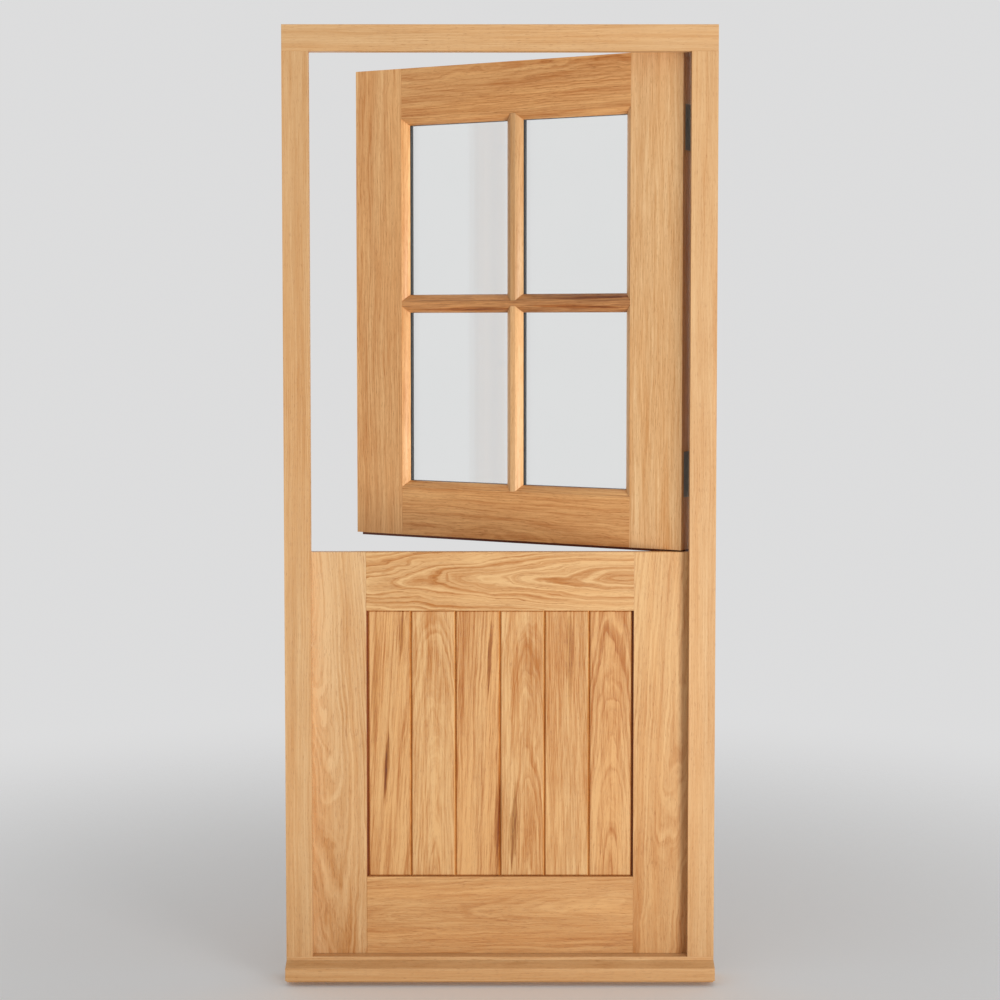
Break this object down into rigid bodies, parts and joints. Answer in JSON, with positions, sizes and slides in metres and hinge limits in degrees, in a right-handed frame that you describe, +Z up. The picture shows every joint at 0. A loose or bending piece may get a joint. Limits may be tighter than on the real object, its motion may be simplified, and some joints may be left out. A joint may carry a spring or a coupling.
{
  "type": "dutch stable door",
  "caption": "Oak stable door in its frame: a boarded lower leaf and a glazed upper leaf, hung separately and opening inward.",
  "frame": {"origin": "middle of the sill's underside, at half the frame's depth", "axes": "+X across the opening towards the hinges, +Y into the room, +Z up"},
  "size_m": [0.934, 0.5198, 2.077],
  "materials": {
    "oak": "satin lacquered oak with visible grain",
    "dark_oak": "satin lacquered oak, darker heartwood",
    "glass": "clear polished",
    "spacer": "matt black warm-edge spacer",
    "steel": "satin stainless"
  },
  "bodies": {
    "frame": {"hinge_jamb": "oak", "lock_jamb": "oak", "head": "oak", "sill": "oak", "frame_plate_1": "steel", "frame_plate_2": "steel", "frame_plate_3": "steel", "frame_plate_4": "steel", "lower_hinge_pins": "steel", "upper_hinge_pins": "steel", "lower_bolt_keep": "steel", "upper_bolt_keep": "steel", "frame_screws": "steel"},
    "lower_leaf": {"lower_hinge_stile": "oak", "lower_lock_stile": "oak", "lower_top_rail": "oak", "lower_bottom_rail": "oak", "lower_board_1": "oak", "lower_board_2": "oak", "lower_board_3": "oak", "lower_board_4": "oak", "lower_board_5": "oak", "lower_board_6": "oak", "leaf_plate_1": "steel", "leaf_plate_2": "steel", "lower_bolt_body": "steel", "meeting_bolt_keep": "steel", "lower_leaf_screws": "steel"},
    "upper_leaf": {"upper_hinge_stile": "oak", "upper_lock_stile": "oak", "upper_top_rail": "oak", "upper_bottom_rail": "oak", "level_bar": "dark_oak", "upper_upright_bar": "oak", "lower_upright_bar": "oak", "outer_glass_1": "glass", "outer_glass_2": "glass", "outer_glass_3": "glass", "outer_glass_4": "glass", "spacer_1": "spacer", "spacer_2": "spacer", "spacer_3": "spacer", "spacer_4": "spacer", "inner_glass_1": "glass", "inner_glass_2": "glass", "inner_glass_3": "glass", "inner_glass_4": "glass", "beads_1": "oak", "beads_2": "oak", "beads_3": "oak", "beads_4": "oak", "leaf_plate_3": "steel", "leaf_plate_4": "steel", "upper_bolt_body": "steel", "meeting_bolt_body": "steel", "upper_leaf_screws": "steel"},
    "lower_bolt": {"lower_bolt_rod": "steel"},
    "upper_bolt": {"upper_bolt_rod": "steel"},
    "meeting_bolt": {"meeting_bolt_rod": "steel"}
  },
  "joints": [
    {"name": "lower_leaf_hinge", "type": "hinge", "parent": "frame", "child": "lower_leaf", "pos_m": [0.4205, 0.0415, 0], "axis": [0, 0, -1], "range_deg": [0, 90]},
    {"name": "upper_leaf_hinge", "type": "hinge", "parent": "lower_leaf", "child": "upper_leaf", "pos_m": [0.4205, 0.0415, 0], "axis": [0, 0, -1], "range_deg": [-29, 61]},
    {"name": "lower_bolt_slide", "type": "slide", "parent": "lower_leaf", "child": "lower_bolt", "axis": [-1, 0, 0], "range_m": [0, 0.028]},
    {"name": "upper_bolt_slide", "type": "slide", "parent": "upper_leaf", "child": "upper_bolt", "axis": [-0.8746, 0.4848, 0], "range_m": [0, 0.028]},
    {"name": "meeting_bolt_slide", "type": "slide", "parent": "upper_leaf", "child": "meeting_bolt", "axis": [0, 0, -1], "range_m": [0, 0.028]}
  ]
}
